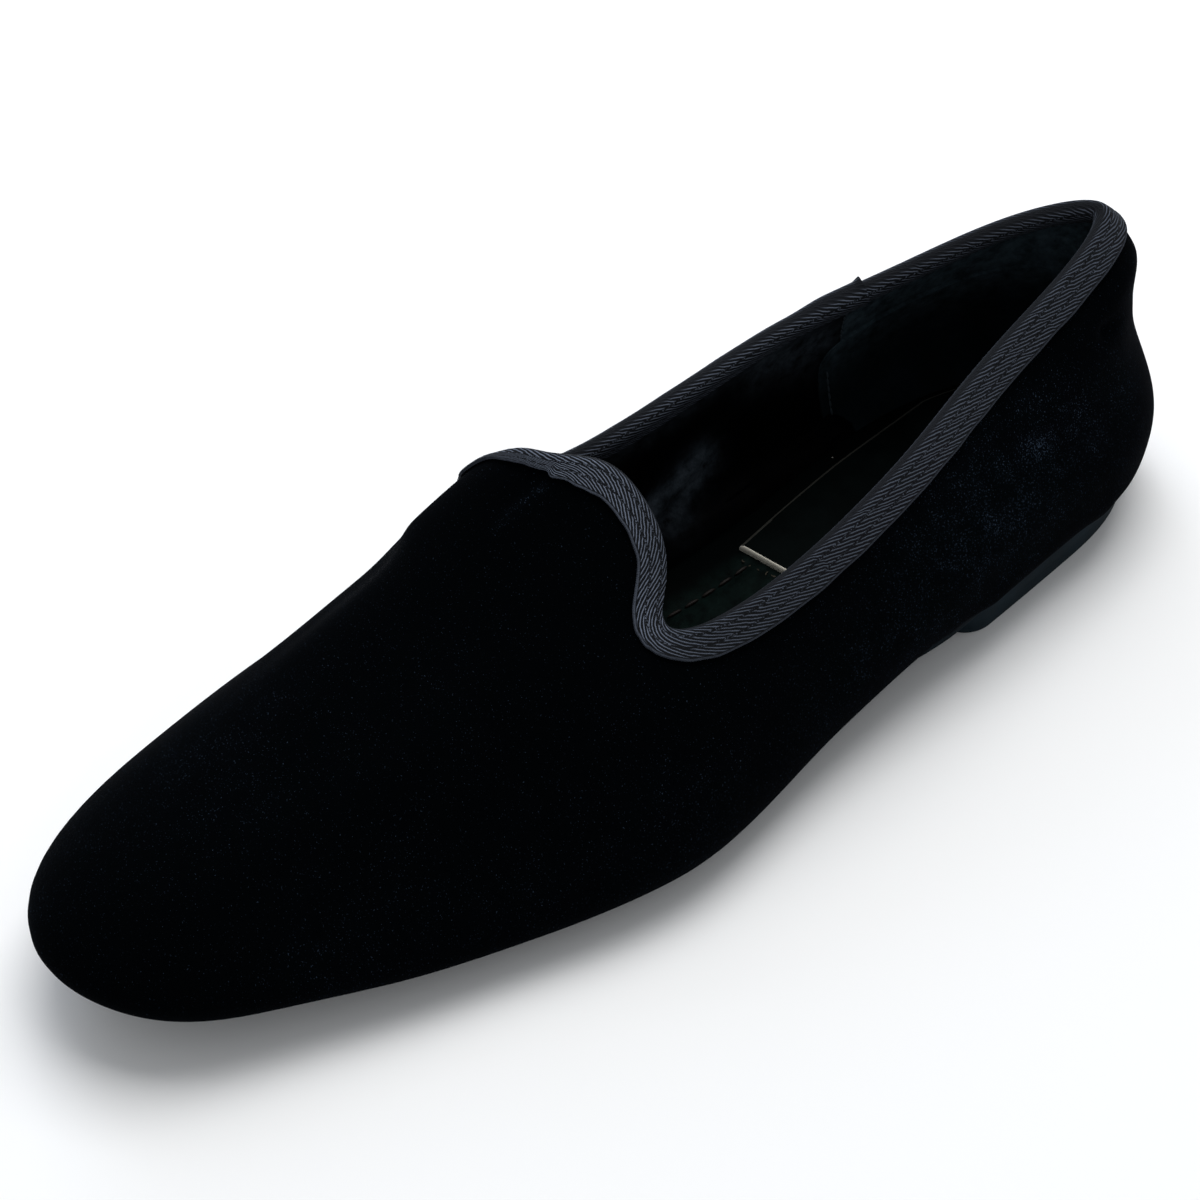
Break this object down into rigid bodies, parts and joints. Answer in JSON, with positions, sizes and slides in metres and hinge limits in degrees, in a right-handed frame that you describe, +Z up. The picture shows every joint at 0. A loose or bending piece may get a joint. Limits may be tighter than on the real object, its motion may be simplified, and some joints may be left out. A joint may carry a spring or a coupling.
{
  "type": "velvet slipper loafer",
  "caption": "Left velvet slipper loafer with a high tab over the instep, twill-bound topline, thin tucked sole and low heel.",
  "frame": {"origin": "on the floor, under the middle of the shoe's box", "axes": "+Y from toe to heel, +X to the lateral side, +Z up"},
  "size_m": [0.0916, 0.259, 0.0661],
  "materials": {
    "velvet": "black cotton velvet, dusty nap",
    "twill_tape": "herringbone twill, matt",
    "insole_leather": "smooth, satin",
    "sock_leather": "smooth, satin",
    "sole_leather": "buffed, matt",
    "heel_rubber": "moulded, satin"
  },
  "bodies": {
    "root": {"upper": "velvet", "topline_binding": "twill_tape", "insole": "insole_leather", "heel_sock": "sock_leather", "outsole": "sole_leather", "heel": "heel_rubber"}
  },
  "joints": []
}
